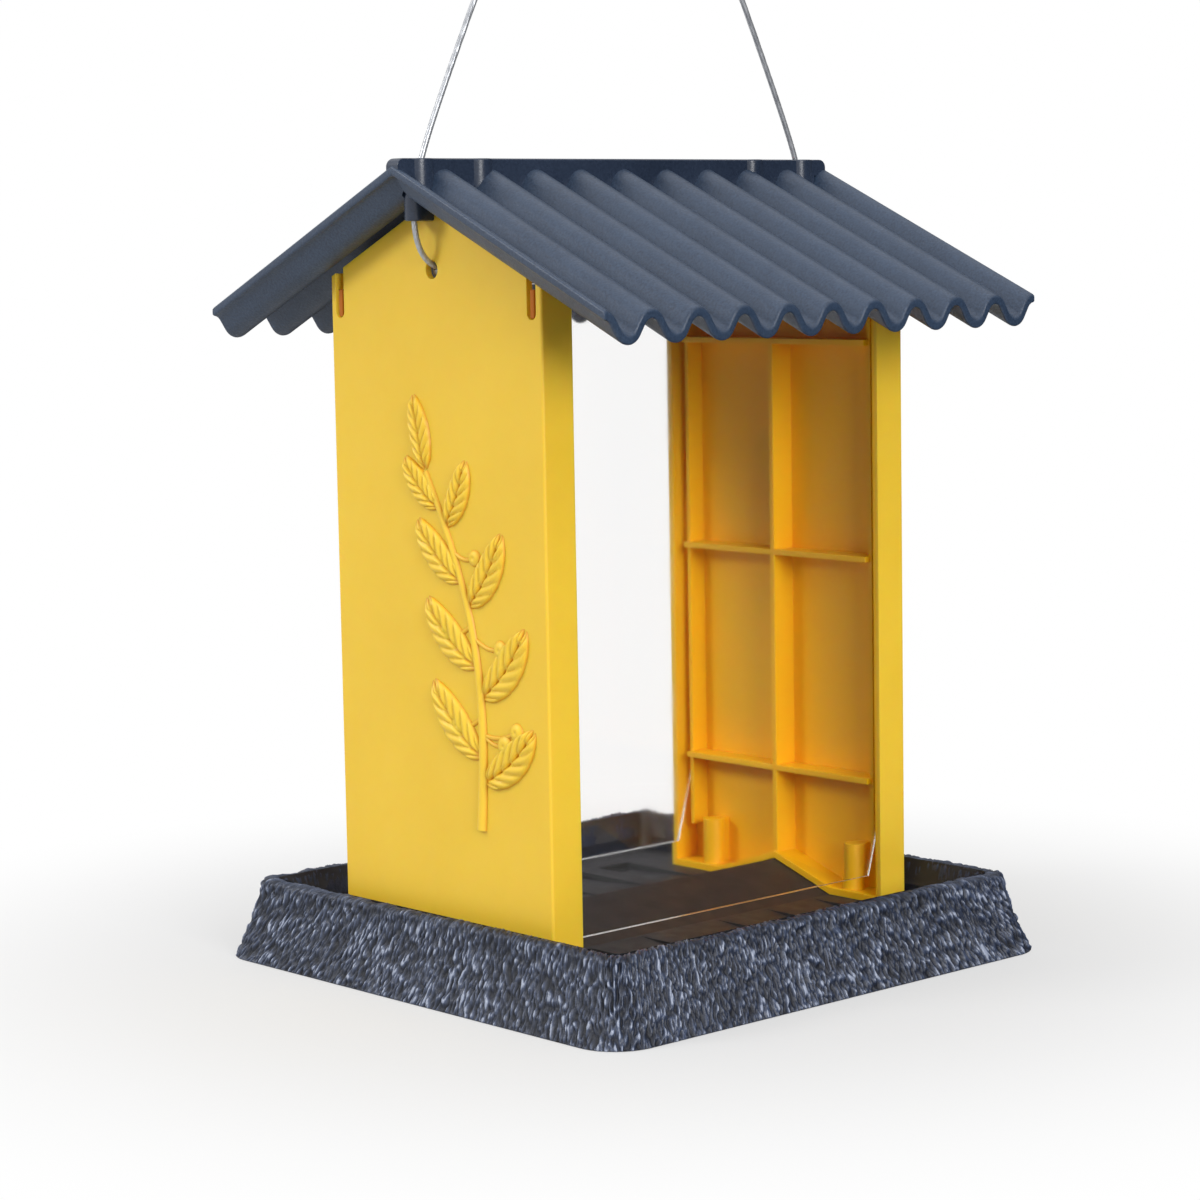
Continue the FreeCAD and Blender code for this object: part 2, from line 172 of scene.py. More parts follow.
# Roof
RIDGE_TOP = 279.4
ROOF_HALF_LENGTH = 100.8
ROOF_HALF_SPAN = 101.7
EAVE_UNDERSIDE = 219.4
ROOF_SLOPE = math.radians(24.6)
WAVES = 10
WAVE_RISE = 7.2
WAVE_FLANK = math.radians(55)
SHEET = 3.0
SHEET_EDGE_ROUND = 0.9
VERGE_STEPS = (0, 0.06, 0.25, 0.5, 0.9)     # rows of points that round the sheet's edges
EAVE_STEPS = (0, 0.05, 0.2, 0.45, 0.9)
SLOPE_START = 4.0               # from the eave, where the even rows start
SLOPE_ROWS = 14
BAR_HALF = 3.0
BAR_HALF_LENGTH = 100.4
BAR_BOTTOM = 264.0
BAR_END_ROUND = 2.6
BAR_FLAT = BAR_HALF_LENGTH - BAR_END_ROUND
BAR_BOTTOMS = [(94.5, 273.4), (80.0, 268.5), (0.0, BAR_BOTTOM)]     # shallower towards its ends
BAR_STEP_GAP = 0.02
BAR_EDGE_ROUND = 0.7
CABLE_BOSS_XS = (64.0, 89.3)
CABLE_BOSS_RADIUS = 5.0
CABLE_SLOT_INNER = 64.5
CABLE_SLOT_OUTER = 93.2
CABLE_SLOT_HALF = 1.4
GUIDE_BOTTOM = 259.0
GUIDE_TOP = 270.5
GUIDE_INNER = 86.0
GUIDE_NOSE = 91.0
GUIDE_HALF = 3.6
GUIDE_WALL = 1.5
GUIDE_EDGE_ROUND = 0.6

# Cable
CABLE_DIAMETER = 2.0
CABLE_STRANDS = 7
CABLE_LAY = 11.0                # length of one turn of the strands
STRAND_SIDES = 6
STRAND_DEPTH = 0.05
CABLE_LEG = [                   # right leg as (x, z), from the wall up to the top of the loop
    (77.2, 242.25), (84.0, 243.9), (89.2, 248.6), (91.6, 256.0), (91.5, 265.0), (89.0, 276.6),
    (84.0, 289.3), (73.3, 312.0), (57.5, 344.0), (40.0, 372.0), (16.0, 391.0)]


# Colours and shader nodes

def srgb(red, green, blue):
    """Linear colour of an 8-bit screen colour."""
    def linear(value):
        share = value / 255
        return share / 12.92 if share <= 0.04045 else ((share + 0.055) / 1.055) ** 2.4
    return (linear(red), linear(green), linear(blue), 1.0)


def grey(value):
    return (value, value, value, 1.0)


def add_node(tree, kind, inputs=None, **settings):
    """Node with its settings made and its inputs linked or set."""
    node = tree.nodes.new(kind)
    for name, value in settings.items():
        setattr(node, name, value)
    for name, value in (inputs or {}).items():
        if isinstance(value, bpy.types.NodeSocket):
            tree.links.new(value, node.inputs[name])
        else:
            node.inputs[name].default_value = value
    return node


def new_material(name, **constants):
    """Material with one Principled shader and its constant sockets set."""
    material = bpy.data.materials.new(name)
    material.use_nodes = True
    tree = material.node_tree
    shader = tree.nodes["Principled BSDF"]
    for socket, value in constants.items():
        shader.inputs[socket.replace("_", " ")].default_value = value
    return material, tree, shader


def feed(tree, shader, **values):
    """Links values to the shader's sockets of those names."""
    for socket, value in values.items():
        tree.links.new(value, shader.inputs[socket.replace("_", " ")])


def object_point(tree, scale=(1, 1, 1)):
    place = add_node(tree, "ShaderNodeTexCoord")
    stretch = add_node(tree, "ShaderNodeMapping", {"Vector": place.outputs["Object"], "Scale": scale})
    return stretch.outputs["Vector"]


def parts_of(tree, vector):
    """The X, Y and Z of a vector."""
    return add_node(tree, "ShaderNodeSeparateXYZ", {"Vector": vector}).outputs


def noise_of(tree, point, size, detail=3.0):
    """Noise whose features are about size millimetres wide."""
    made = add_node(tree, "ShaderNodeTexNoise",
                    {"Vector": point, "Scale": 1 / (size * MM), "Detail": detail, "Roughness": 0.55})
    return made.outputs["Fac"]


def ramp(tree, factor, stops):
    """Colour ramp through (place, colour) stops."""
    made = add_node(tree, "ShaderNodeValToRGB", {"Fac": factor})
    elements = made.color_ramp.elements
    while len(elements) < len(stops):
        elements.new(1.0)
    for element, (place, colour) in zip(elements, stops):
        element.position = place
        element.color = colour
    return made.outputs["Color"]


def uneven(tree, cloud, low, high):
    """Colour that wanders between two colours with a noise."""
    return ramp(tree, cloud, [(0.3, low), (0.7, high)])


def absolute(tree, value):
    return add_node(tree, "ShaderNodeMath", {0: value}, operation="ABSOLUTE").outputs[0]


def product(tree, a, b):
    return add_node(tree, "ShaderNodeMath", {0: a, 1: b}, operation="MULTIPLY").outputs[0]


def most_of(tree, *factors):
    """The largest of several factors."""
    most = factors[0]
    for factor in factors[1:]:
        most = add_node(tree, "ShaderNodeMath", {0: most, 1: factor}, operation="MAXIMUM").outputs[0]
    return most


def dot_product(tree, a, b):
    return add_node(tree, "ShaderNodeVectorMath", {0: a, 1: b}, operation="DOT_PRODUCT").outputs["Value"]


def map_range(tree, value, start, end, low=0.0, high=1.0, interpolation="LINEAR"):
    made = add_node(tree, "ShaderNodeMapRange", {
        "Value": value, "From Min": start, "From Max": end, "To Min": low, "To Max": high},
        interpolation_type=interpolation)
    return made.outputs["Result"]


def smooth_step(tree, value, start, end):
    return map_range(tree, value, start, end, interpolation="SMOOTHSTEP")


def mixed_value(tree, factor, a, b):
    return add_node(tree, "ShaderNodeMix", {"Factor": factor, "A": a, "B": b}).outputs["Result"]


def mixed_shader(tree, factor, a, b):
    return add_node(tree, "ShaderNodeMixShader", {0: factor, 1: a, 2: b}).outputs["Shader"]


def overlay(tree, shader, share, colour):
    """Lays a colour over the shader's base colour, by a share from 0 to 1."""
    below = shader.inputs["Base Color"].links[0].from_socket
    both = add_node(tree, "ShaderNodeMixRGB", {"Fac": share, "Color1": below, "Color2": colour})
    feed(tree, shader, Base_Color=both.outputs["Color"])


def bump(tree, shader, height, distance):
    """Bump of a height from 0 to 1 that stands for a distance in millimetres."""
    made = add_node(tree, "ShaderNodeBump", {"Height": height, "Distance": distance * MM, "Strength": 1.0})
    feed(tree, shader, Normal=made.outputs["Normal"])


def show_surface(tree, surface):
    tree.links.new(surface, tree.nodes["Material Output"].inputs["Surface"])


# Materials

def moulded_plastic(name, dark, light, rough, grain, grain_depth, speckle=0.2):
    """Matt moulded plastic: cloudy and speckled colour, uneven gloss and a fine grain."""
    material, tree, shader = new_material(name, IOR=PLASTIC_IOR)
    point = object_point(tree)
    fine = noise_of(tree, point, grain, 2)
    tone = mixed_value(tree, speckle, noise_of(tree, point, CLOUD_SIZE, 4), fine)
    gloss = noise_of(tree, point, GLOSS_SIZE, 4)
    feed(tree, shader, Base_Color=uneven(tree, tone, dark, light),
         Roughness=uneven(tree, gloss, grey(rough[0]), grey(rough[1])))
    bump(tree, shader, fine, grain_depth)
    return material, tree, shader


def yellow_plastic(name, subsurface):
    """Yellow moulded plastic that lets a little light in."""
    material, tree, shader = moulded_plastic(
        name, dark=srgb(230, 190, 48), light=srgb(235, 196, 54), rough=(0.42, 0.55), grain=0.5,
        grain_depth=0.02)
    shader.inputs["Subsurface Weight"].default_value = subsurface
    shader.inputs["Subsurface Radius"].default_value = (1.0, 0.6, 0.1)
    shader.inputs["Subsurface Scale"].default_value = 3 * MM
    return material, tree, shader


def wall_plastic():
    """Yellow of the end walls, painted a deeper orange inside the hopper as painted shade and bounced light.
    """
    material, tree, shader = yellow_plastic("wall_yellow", subsurface=0.5)
    place = parts_of(tree, object_point(tree))
    behind_skin = smooth_step(tree, absolute(tree, place["X"]),
                              (WALL_SKIN_INSIDE + WALL_SKIN_FADE) * MM, WALL_SKIN_INSIDE * MM)
    between_flanges = smooth_step(tree, absolute(tree, place["Y"]),
                                  (WALL_FLANGE_INSIDE + WALL_FLANGE_FADE) * MM, WALL_FLANGE_INSIDE * MM)
    # painted shade and bounced light: faces inside the hopper are tinted deeper orange
    overlay(tree, shader, product(tree, behind_skin, between_flanges), srgb(248, 188, 14))
    return material


def sprig_plastic():
    """Yellow of the sprigs, with painted shade: deeper orange in their hollows."""
    material, tree, shader = yellow_plastic("sprig_yellow", subsurface=0.15)
    along = absolute(tree, parts_of(tree, object_point(tree))["X"])
    hollow_shade = smooth_step(tree, along, *((WALL_OUTER + height) * MM for height in SPRIG_PAINTED_SHADE))
    # painted shade in the relief's hollows
    overlay(tree, shader, hollow_shade, srgb(214, 146, 14))
    return material


def tray_plastic():
    """Smooth slate inside of the tray, with painted shade: the steep sides of its drains are darkened near
    black.
    """
    material, tree, shader = moulded_plastic(
        "tray_smooth", dark=srgb(28, 27, 31), light=srgb(36, 34, 38), rough=(0.45, 0.6), grain=0.6,
        grain_depth=0.03)
    height = parts_of(tree, object_point(tree))["Z"]
    normal = add_node(tree, "ShaderNodeNewGeometry").outputs["True Normal"]
    steep = smooth_step(tree, absolute(tree, parts_of(tree, normal)["Z"]), *PAINTED_SHADE_TILT)
    low = smooth_step(tree, height, *((FLOOR_TOP + above) * MM for above in PAINTED_SHADE_TOP))
    # painted shade: near black on the drains' steep faces just above the floor
    overlay(tree, shader, product(tree, steep, low), srgb(5, 5, 6))
    return material


def bark_plastic():
    """Rough slate skirt: darker hollows and paler tops, partly the slate's own rubbed tone and partly
    painted shade and painted highlight.
    """
    material, tree, shader = new_material("tray_bark", IOR=PLASTIC_IOR)
    point = object_point(tree)
    height = add_node(tree, "ShaderNodeAttribute", attribute_name="bark").outputs["Fac"]
    speck = noise_of(tree, point, 0.9)
    speckled = add_node(tree, "ShaderNodeMath", {0: speck, 1: 0.2, 2: height}, operation="MULTIPLY_ADD")
    tone = speckled.outputs[0]
    # painted shade in the hollows and painted highlight on the tops, over the slate's own tone
    shade = ramp(tree, tone, [(0.15, srgb(8, 12, 23)), (0.55, srgb(26, 34, 52)),
                              (0.85, srgb(64, 74, 97)), (1.0, srgb(140, 148, 167))])
    feed(tree, shader, Base_Color=shade,
         Roughness=ramp(tree, tone, [(0.25, grey(0.6)), (0.85, grey(0.29))]))
    bump(tree, shader, noise_of(tree, point, 0.6), 0.15)
    return material


def slate_plastic():
    """Matt, speckled slate of the roof's slopes."""
    return moulded_plastic("roof_slate", dark=srgb(26, 40, 60), light=srgb(50, 67, 90), rough=(0.4, 0.5),
                           grain=0.8, grain_depth=0.12, speckle=0.7)[0]


def ridge_plastic():
    """Smoother slate of the ridge bar and its cable guides, a little darker than the slopes' slate as
    painted shade of the same moulding.
    """
    # painted shade: a darker copy of the roof's slate
    return moulded_plastic("ridge_slate", dark=srgb(26, 36, 53), light=srgb(46, 57, 76), rough=(0.24, 0.32),
                           grain=0.8, grain_depth=0.04, speckle=0.5)[0]


def clear_plastic():
    """Clear window sheet with slightly milky cut edges, and ears painted the deep orange of the shaded slots
    they sit in.
    """
    material, tree, shader = new_material("window_clear", IOR=PLASTIC_IOR, Specular_Tint=grey(0.35))
    point = object_point(tree)
    normal = add_node(tree, "ShaderNodeNewGeometry").outputs["Normal"]
    facing = absolute(tree, parts_of(tree, normal)["Y"])
    haze = map_range(tree, noise_of(tree, point, 26), 0.3, 0.7, 0.02, 0.06)
    along = absolute(tree, parts_of(tree, point)["X"])
    painted_ear = smooth_step(tree, along, WALL_SKIN_INSIDE * MM, (WALL_SKIN_INSIDE + PAINTED_EAR_FADE) * MM)
    feed(tree, shader,
         Base_Color=ramp(tree, facing, [(0.6, srgb(240, 243, 244)), (0.95, srgb(255, 255, 255))]),
         Roughness=map_range(tree, facing, 0.6, 0.95, 0.35, haze),
         Transmission_Weight=mixed_value(tree, painted_ear, 1.0, 0.1))
    # painted shade: the clear ears are tinted the orange of the shaded yellow slots round them
    overlay(tree, shader, painted_ear, srgb(188, 104, 18))
    path = add_node(tree, "ShaderNodeLightPath").outputs
    light = most_of(tree, path["Is Shadow Ray"], path["Is Diffuse Ray"])
    through = add_node(tree, "ShaderNodeBsdfTransparent", {"Color": grey(0.97)})
    show_surface(tree, mixed_shader(tree, light, shader.outputs["BSDF"], through.outputs["BSDF"]))
    return material


def coated_cable():
    """Pale steel cable with streaks along it."""
    material, tree, shader = new_material("cable_steel", IOR=1.5, Metallic=0.55)
    streak = noise_of(tree, object_point(tree, (1, 1, 0.15)), 0.8)
    gloss = noise_of(tree, object_point(tree), 3)
    feed(tree, shader, Base_Color=uneven(tree, streak, srgb(150, 153, 158), srgb(188, 190, 194)),
         Roughness=uneven(tree, gloss, grey(0.28), grey(0.42)))
    return material


def bright_metal(name, dark, light):
    """Bare metal, cloudy and slightly pitted."""
    material, tree, shader = new_material(name, Metallic=1.0)
    point = object_point(tree)
    feed(tree, shader, Base_Color=uneven(tree, noise_of(tree, point, 1.6, 4), dark, light),
         Roughness=uneven(tree, noise_of(tree, point, 0.8, 4), grey(0.28), grey(0.48)))
    bump(tree, shader, noise_of(tree, point, 0.4, 2), 0.02)
    return material


# Objects and meshes

def placed(name, data):
    """New object in the scene."""
    made = bpy.data.objects.new(name, data)
    bpy.context.scene.collection.objects.link(made)
    return made


def shown(name, mesh, body, material, smooth_angle=35):
    """Object of a finished mesh that rides on a body. Its large flat faces keep flat shading."""
    mesh.shade_smooth()
    mesh.set_sharp_from_angle(angle=math.radians(smooth_angle))
    piece = placed(name, mesh)
    weighed = piece.modifiers.new("flat_faces", "WEIGHTED_NORMAL")
    weighed.keep_sharp = True
    weighed.weight = 100
    piece.data.materials.clear()
    piece.data.materials.append(material)
    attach(piece, body)
    return piece


def mesh_of(name, points, faces):
    """Mesh of points given in millimetres."""
    mesh = bpy.data.meshes.new(name)
    mesh.from_pydata((np.asarray(points, float) * MM).tolist(), [], faces)
    mesh.validate()
    return mesh


def mesh_from(curve):
    """Mesh of a curve, which is then removed."""
    holder = placed(curve.name, curve)
    mesh = bpy.data.meshes.new_from_object(holder.evaluated_get(bpy.context.evaluated_depsgraph_get()))
    bpy.data.objects.remove(holder)
    bpy.data.curves.remove(curve)
    return mesh


def face_outwards(mesh):
    turned = bmesh.new()
    turned.from_mesh(mesh)
    bmesh.ops.recalc_face_normals(turned, faces=turned.faces)
    turned.to_mesh(mesh)
    turned.free()
    return mesh


def grid_faces(rows, columns, closed=False, start=0):
    """Quads of a grid whose points run row by row; closed joins the last column to the first."""
    faces = []
    for i in range(rows - 1):
        for j in range(columns if closed else columns - 1):
            k = (j + 1) % columns
            faces.append((start + i * columns + j, start + i * columns + k,
                          start + (i + 1) * columns + k, start + (i + 1) * columns + j))
    return faces


def welded_copy(node):
    """Copy of a CAD node's mesh to work on, with its doubled points joined."""
    copy = bmesh.new()
    copy.from_mesh(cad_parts[node].data)
    bmesh.ops.remove_doubles(copy, verts=copy.verts, dist=WELD_DISTANCE * MM)
    return copy


def finished(copy, name):
    mesh = bpy.data.meshes.new(name)
    copy.to_mesh(mesh)
    copy.free()
    return mesh


def softened_copy(node, softening):
    """Copy of a CAD node's mesh with its sharp edges rounded."""
    copy = welded_copy(node)
    bmesh.ops.dissolve_limit(copy, angle_limit=FLAT_ANGLE, verts=copy.verts, edges=copy.edges)
    sharp = [e for e in copy.edges if len(e.link_faces) == 2 and e.calc_face_angle() > SHARP_ANGLE]
    bmesh.ops.bevel(copy, geom=sharp, offset=softening * MM, offset_type="OFFSET", segments=2, profile=0.5,
                    affect="EDGES", clamp_overlap=True)
    return finished(copy, node)


def arc(x, y, radius, start, end, steps=12):
    return [(x + radius * math.cos(a), y + radius * math.sin(a)) for a in np.linspace(start, end, steps)]


def half_turned(loop):
    return [(-x, -y) for x, y in loop]


def slab(name, outline, holes, z0, z1, edge_round):
    """Upright slab of an (x, y) outline with holes, its edges rounded."""
    curve = bpy.data.curves.new(name, "CURVE")
    curve.dimensions = "2D"
    curve.fill_mode = "BOTH"
    curve.extrude = ((z1 - z0) / 2 - edge_round) * MM
    curve.bevel_depth = edge_round * MM
    curve.bevel_resolution = 2
    curve.offset = -edge_round * MM
    for loop in [outline] + [list(reversed(h)) for h in holes]:
        spline = curve.splines.new("POLY")
        spline.points.add(len(loop) - 1)
        for point, (x, y) in zip(spline.points, loop):
            point.co = (x * MM, y * MM, 0, 1)
        spline.use_cyclic_u = True
    mesh = mesh_from(curve)
    mesh.transform(Matrix.Translation((0, 0, (z0 + z1) / 2 * MM)))
    return mesh


# Tray

def spaced(a, b, step):
    """Even values from a to b, at most a step apart."""
    return np.linspace(a, b, max(2, int(math.ceil(abs(b - a) / step)) + 1))


def skirt_half(z):
    """Half width of the flared skirt at a height."""
    share = max(0.0, (RIM_SHOULDER - z) / RIM_SHOULDER)
    return RIM_SHOULDER_HALF + (BASE_HALF - RIM_SHOULDER_HALF) * share ** FLARE_POWER


def skirt_profile():
    """Levels from the base's inner edge, up the skirt, over the rim and down into the bowl.

    Each level is (half width, corner radius, height, share of the roughness).
    """
    base_edges = (BASE_HALF - SKIRT_WALL, BASE_HALF - BASE_LIP)
    levels = [(half, half - CORNER_CENTRE, 0.0, 0.0) for half in base_edges]
    for z in spaced(0, RIM_SHOULDER, BARK_STEP):
        half = skirt_half(z)
        levels.append((half, half - CORNER_CENTRE, z, 1.0))
    rise = RIM_TOP - RIM_SHOULDER
    run = RIM_SHOULDER_HALF - RIM_CREST_HALF
    for turn in np.linspace(0, math.pi / 2, 9)[1:]:
        half = RIM_CREST_HALF + run * math.cos(turn)
        rough = 1.0 - (1.0 - CREST_ROUGHNESS) * math.sin(turn)
        levels.append((half, half - CORNER_CENTRE, RIM_SHOULDER + rise * math.sin(turn), rough))
    crest_radius = RIM_CREST_HALF - CORNER_CENTRE
    crest_end = BOWL_TOP_HALF + RIM_INNER_ROUND
    for share in (0.25, 0.5, 0.75, 1.0):
        half = RIM_CREST_HALF + (crest_end - RIM_CREST_HALF) * share
        radius = crest_radius + (BOWL_CORNER - crest_radius) * share
        rough = CREST_ROUGHNESS + (INNER_RIM_ROUGHNESS - CREST_ROUGHNESS) * share
        levels.append((half, radius, RIM_TOP, rough))
    for turn in np.linspace(0, math.pi / 2, 5)[1:]:
        half = BOWL_TOP_HALF + RIM_INNER_ROUND * (1 - math.sin(turn))
        height = RIM_TOP - RIM_INNER_ROUND * (1 - math.cos(turn))
        levels.append((half, BOWL_CORNER, height, INNER_RIM_ROUGHNESS - INNER_ROUND_LOSS * turn))
    lean = (BOWL_TOP_HALF - BOWL_FLOOR_HALF) / (RIM_TOP - FLOOR_TOP)
    for z in spaced(RIM_TOP - BOWL_ROUGH_FULL, FLOOR_TOP, BOWL_STEP):
        fade = max(0.0, (z - RIM_TOP + BOWL_ROUGH_FROM) / (BOWL_ROUGH_FROM - BOWL_ROUGH_FULL))
        levels.append((BOWL_FLOOR_HALF + lean * (z - FLOOR_TOP), BOWL_CORNER, z, BOWL_ROUGHNESS * fade))
    return levels


def skirt_columns(half, radius):
    """x and y on the smooth skirt at each level: one side and one corner, at each of four turns."""
    flat = half - radius
    side = spaced(-1, 1, BARK_STEP / CORNER_CENTRE)[:-1]
    corner = np.linspace(0, math.pi / 2, CORNER_STEPS)[:-1]
    x = np.concatenate([np.broadcast_to(half, (len(half), len(side))), flat + radius * np.cos(corner)], 1)
    y = np.concatenate([flat * side, flat + radius * np.sin(corner)], 1)
    turns = [(x, y), (-y, x), (-x, -y), (y, -x)]
    return np.concatenate([t[0] for t in turns], 1), np.concatenate([t[1] for t in turns], 1)


def bark_height(point):
    """Roughness from 0 to 1: short upright flecks of uneven height over a lumpy ground.

    The point's z is the way up the skirt.
    """
    warp = noise.noise_vector(point / WARP_WIDTH) * WARP
    lean = FLECK_LEAN * point.z
    upright = Vector((point.x + lean, point.y + lean, point.z / FLECK_STRETCH))
    fleck = noise.noise(upright / FLECK_WIDTH + warp)
    lump = noise.noise(Vector((point.x, point.y, point.z / LUMP_STRETCH)) / LUMP_WIDTH + warp)
    patch = noise.noise(point / PATCH_WIDTH)
    height = BARK_MEAN + FLECK_WEIGHT * fleck + LUMP_WEIGHT * lump + PATCH_WEIGHT * patch
    return min(1.0, max(0.0, height))


def wander_height(point):
    return noise.noise(point / RIM_WANDER_WIDTH)


def at_each(value, points):
    """Values at a grid of points."""
    return np.array([value(Vector(p)) for p in points.reshape(-1, 3)]).reshape(points.shape[:2])


def rough_skirt():
    """The tray's skirt and rim as one fine mesh with its roughness in the geometry."""
    noise.seed_set(BARK_SEED)
    half, radius, height, share = (np.array(column)[:, None] for column in zip(*skirt_profile()))
    x, y = skirt_columns(half, radius)
    height, share = np.broadcast_to(height, x.shape), np.broadcast_to(share, x.shape)
    points = np.stack([x, y, height], 2)
    along = np.roll(points, -1, 1) - np.roll(points, 1, 1)
    normals = np.cross(along, np.gradient(points, axis=0))
    normals /= np.maximum(np.linalg.norm(normals, axis=2, keepdims=True), 1e-9)

    climb = np.cumsum(np.hypot(np.gradient(half[:, 0]), np.gradient(height[:, 0])))[:, None]
    spread = BASE_HALF / half
    bark = at_each(bark_height, np.stack([x * spread, y * spread, np.broadcast_to(climb, x.shape)], 2))
    moved = points + normals * ((bark - BARK_LEVEL) * 2 * BARK_DEPTH * share)[..., None]
    near_rim = np.clip((height - RIM_SHOULDER + RIM_WANDER_REACH) / RIM_WANDER_REACH, 0, 1)
    moved[..., 2] += RIM_WANDER * at_each(wander_height, points) * near_rim
    moved[..., 2] = np.where(height <= 0, 0, np.maximum(moved[..., 2], 0))

    mesh = mesh_of("tray_skirt", moved.reshape(-1, 3), grid_faces(*x.shape, closed=True))
    values = mesh.attributes.new("bark", "FLOAT", "POINT")
    tone = 0.5 + (bark - 0.5) * np.maximum(share, BARK_LEAST_TONE)
    values.data.foreach_set("value", tone.ravel().astype(np.float32))
    return mesh


def tray_inside():
    """The tray's floor, ridge, drains and underside, without the skirt's outer faces."""
    copy = welded_copy("tray")
    outer = []
    for face in copy.faces:
        middle = face.calc_center_median() / MM
        reach = max(abs(middle.x), abs(middle.y))
        outward = face.normal.x * middle.x + face.normal.y * middle.y > 1
        rim = face.normal.z > 0.5 and middle.z > RIM_SHOULDER
        if reach > BOWL_TOP_HALF - 1 and (outward or rim):
            outer.append(face)
    bmesh.ops.delete(copy, geom=outer, context="FACES")
    return finished(copy, "tray_inside")


# Roof

def wave_section():
    """Middle line of the corrugated sheet as (x, z, normal x, normal z)."""
    quarter = ROOF_HALF_LENGTH / WAVES / 2
    sine, cosine = math.sin(WAVE_FLANK), math.cos(WAVE_FLANK)
    straight = (WAVE_RISE / 2 * sine - quarter * (1 - cosine)) / (sine * sine - cosine * (1 - cosine))
    radius = (quarter - straight * cosine) / sine
    edge = [math.asin(step / radius) for step in VERGE_STEPS]
    verge = np.concatenate([edge, np.linspace(edge[-1], WAVE_FLANK, 6)[1:]])
    section = []
    for k in range(2 * WAVES + 1):
        up = 1 if k % 2 == 0 else -1
        turns = np.linspace(-WAVE_FLANK, WAVE_FLANK, 13)
        if k == 0:
            turns = verge
        if k == 2 * WAVES:
            turns = -verge[::-1]
        for turn in turns:
            x = -ROOF_HALF_LENGTH + 2 * quarter * k + radius * math.sin(turn)
            z = up * (WAVE_RISE / 2 - radius + radius * math.cos(turn))
            section.append((x, z, up * math.sin(turn), math.cos(turn)))
    return section


def half_sheet(distance):
    """Half of the sheet's thickness at a distance from its rounded edge."""
    inside = max(0.0, SHEET_EDGE_ROUND - distance)
    return SHEET / 2 - SHEET_EDGE_ROUND + math.sqrt(SHEET_EDGE_ROUND ** 2 - inside ** 2)


def sheet_faces(rows, columns):
    """Faces of a closed sheet: a grid of points on top, the same below, and the edge between them."""
    count = rows * columns
    top = [tuple(reversed(f)) for f in grid_faces(rows, columns)]
    under = grid_faces(rows, columns, start=count)
    rim = list(range(columns)) + [r * columns + columns - 1 for r in range(1, rows)]
    rim += [(rows - 1) * columns + c for c in range(columns - 2, -1, -1)]
    rim += [r * columns for r in range(rows - 2, 0, -1)]
    edge = [(a, b, b + count, a + count) for a, b in zip(rim, rim[1:] + rim[:1])]
    return top + under + edge


def corrugated_slope(side):
    """One slope of the roof as a closed sheet with rounded eave and verges."""
    section = wave_section()
    tangent, cosine = math.tan(ROOF_SLOPE), math.cos(ROOF_SLOPE)
    middle_at_ridge = EAVE_UNDERSIDE + ROOF_HALF_SPAN * tangent + (WAVE_RISE / 2 + SHEET / 2) / cosine
    from_eave = np.concatenate([EAVE_STEPS, np.linspace(SLOPE_START, ROOF_HALF_SPAN, SLOPE_ROWS)])
    points = []
    for face in (1, -1):
        for distance in from_eave:
            for x, z, normal_x, normal_z in section:
                in_bar = -BAR_HALF / 2 if abs(x) <= BAR_BOTTOMS[0][0] else 0
                y = min(distance - ROOF_HALF_SPAN, in_bar)
                offset = face * half_sheet(min(distance, ROOF_HALF_LENGTH - abs(x)))
                height = middle_at_ridge + y * tangent + (z + offset * normal_z) / cosine
                points.append((side * (x + offset * normal_x), side * y, height))
    return face_outwards(mesh_of("slope", points, sheet_faces(len(from_eave), len(section))))


def cable_slot(inner):
    """Outline of a slot for the cable, from an inner x to its round outer end."""
    nose = arc(CABLE_SLOT_OUTER - CABLE_SLOT_HALF, 0, CABLE_SLOT_HALF, -math.pi / 2, math.pi / 2)
    return [(inner, -CABLE_SLOT_HALF), *nose, (inner, CABLE_SLOT_HALF)]


def bar_outline():
    """Outline of the ridge bar with its four cable bosses."""
    reach = math.asin(BAR_HALF / CABLE_BOSS_RADIUS)
    front = [(-BAR_HALF_LENGTH, -BAR_HALF)]
    for x in sorted([-b for b in CABLE_BOSS_XS] + list(CABLE_BOSS_XS)):
        front += arc(x, 0, CABLE_BOSS_RADIUS, math.pi + reach, 2 * math.pi - reach)
    front.append((BAR_HALF_LENGTH, -BAR_HALF))
    return front + half_turned(front)


def ridge_bar():
    """Ridge bar with two cable slots, rounded at its ends and stepped underneath."""
    slot = cable_slot(CABLE_SLOT_INNER)
    mesh = slab("ridge_bar", bar_outline(), [slot, half_turned(slot)], BAR_BOTTOM, RIDGE_TOP, BAR_EDGE_ROUND)
    shaped = bmesh.new()
    shaped.from_mesh(mesh)
    planes = [step + gap for step, bottom in BAR_BOTTOMS[:-1] for gap in (-BAR_STEP_GAP, BAR_STEP_GAP)]
    planes += [BAR_FLAT + BAR_END_ROUND * math.sin(turn) for turn in np.linspace(0, math.pi / 2, 9)[:-1]]
    for plane in planes:
        for side in (-1, 1):
            bmesh.ops.bisect_plane(shaped, geom=shaped.verts[:] + shaped.edges[:] + shaped.faces[:],
                                   plane_co=(side * plane * MM, 0, 0), plane_no=(1, 0, 0), dist=1e-7)
    for vertex in shaped.verts:
        reach = abs(vertex.co.x) / MM
        over = max(0.0, reach - BAR_FLAT)
        top = RIDGE_TOP - BAR_END_ROUND + math.sqrt(max(0.0, BAR_END_ROUND ** 2 - over ** 2))
        bottom = next(bottom for step, bottom in BAR_BOTTOMS if reach >= step)
        share = (vertex.co.z / MM - BAR_BOTTOM) / (RIDGE_TOP - BAR_BOTTOM)
        vertex.co.z = (bottom + share * (top - bottom)) * MM
    shaped.to_mesh(mesh)
    shaped.free()
    return mesh


